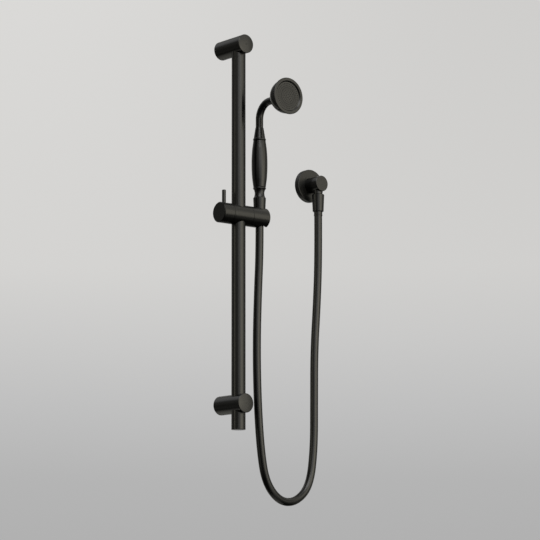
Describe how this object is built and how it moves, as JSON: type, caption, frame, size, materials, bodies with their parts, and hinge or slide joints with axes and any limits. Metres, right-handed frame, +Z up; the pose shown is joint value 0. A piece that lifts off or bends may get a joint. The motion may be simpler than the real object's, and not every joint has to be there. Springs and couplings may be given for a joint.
{
  "type": "shower slide rail",
  "caption": "Wall-mounted black shower slide rail with a locking slider, tilting hand shower holder, hand shower, hose and round wall outlet elbow.",
  "frame": {"origin": "on the wall, midway between the two bracket fixings", "axes": "+Z up along the rail, +Y into the wall, +X to the right seen from the front"},
  "size_m": [0.2783, 0.132, 0.8345],
  "materials": {
    "black_metal": "satin black",
    "black_plastic": "matt black",
    "hose_cover": "smooth satin black",
    "inner_plastic": "natural white",
    "bare_brass": "turned",
    "screw_steel": "plain",
    "seal_rubber": "matt black"
  },
  "bodies": {
    "wall_set": {"rail_tube": "black_metal", "rail_end_cap": "black_plastic", "upper_bracket": "black_metal", "lower_bracket": "black_metal", "upper_wall_boss": "bare_brass", "lower_wall_boss": "bare_brass", "bracket_grub_screws": "screw_steel", "rail_set_screws": "screw_steel", "elbow_flange": "black_metal", "elbow_body": "black_metal", "check_valve": "inner_plastic", "flange_seal": "seal_rubber", "wall_hose_nut": "black_metal", "wall_ferrule": "black_metal", "wall_washer": "seal_rubber", "hose": "hose_cover"},
    "carriage": {"slider_liner": "black_plastic"},
    "slider": {"slider_body": "black_metal", "brake_pad": "inner_plastic", "lock_washer": "black_plastic", "friction_washer": "black_plastic", "pivot_bolt": "screw_steel", "pivot_spring": "screw_steel"},
    "lock": {"lock_knob": "black_metal", "lock_lever": "black_metal", "lock_spindle": "bare_brass"},
    "hand_shower": {"holder": "black_metal", "hand_hose_nut": "black_metal", "hand_ferrule": "black_metal", "hand_washer": "seal_rubber", "lower_collar": "black_metal", "handle_grip": "black_metal", "inner_tube": "bare_brass", "upper_collar": "black_metal", "neck_tube": "black_metal", "head_bell": "black_metal", "face_ring": "black_metal", "spray_plate": "black_plastic", "head_seal": "seal_rubber"}
  },
  "joints": [
    {"name": "slider_slide", "type": "slide", "parent": "wall_set", "child": "carriage", "axis": [0, 0, 1], "range_m": [-0.297, 0.27], "deforming": ["hose"]},
    {"name": "slider_swivel", "type": "hinge", "parent": "carriage", "child": "slider", "pos_m": [0, -0.05, 0.0137], "axis": [0, 0, 1], "range_deg": [-40, 30], "deforming": ["hose"]},
    {"name": "lock_turn", "type": "hinge", "parent": "slider", "child": "lock", "pos_m": [0, -0.05, 0.0137], "axis": [1, 0, 0], "range_deg": [0, 90]},
    {"name": "holder_tilt", "type": "hinge", "parent": "slider", "child": "hand_shower", "pos_m": [0, -0.05, 0.0137], "axis": [1, 0, 0], "range_deg": [-5, 45], "deforming": ["hose"]}
  ]
}
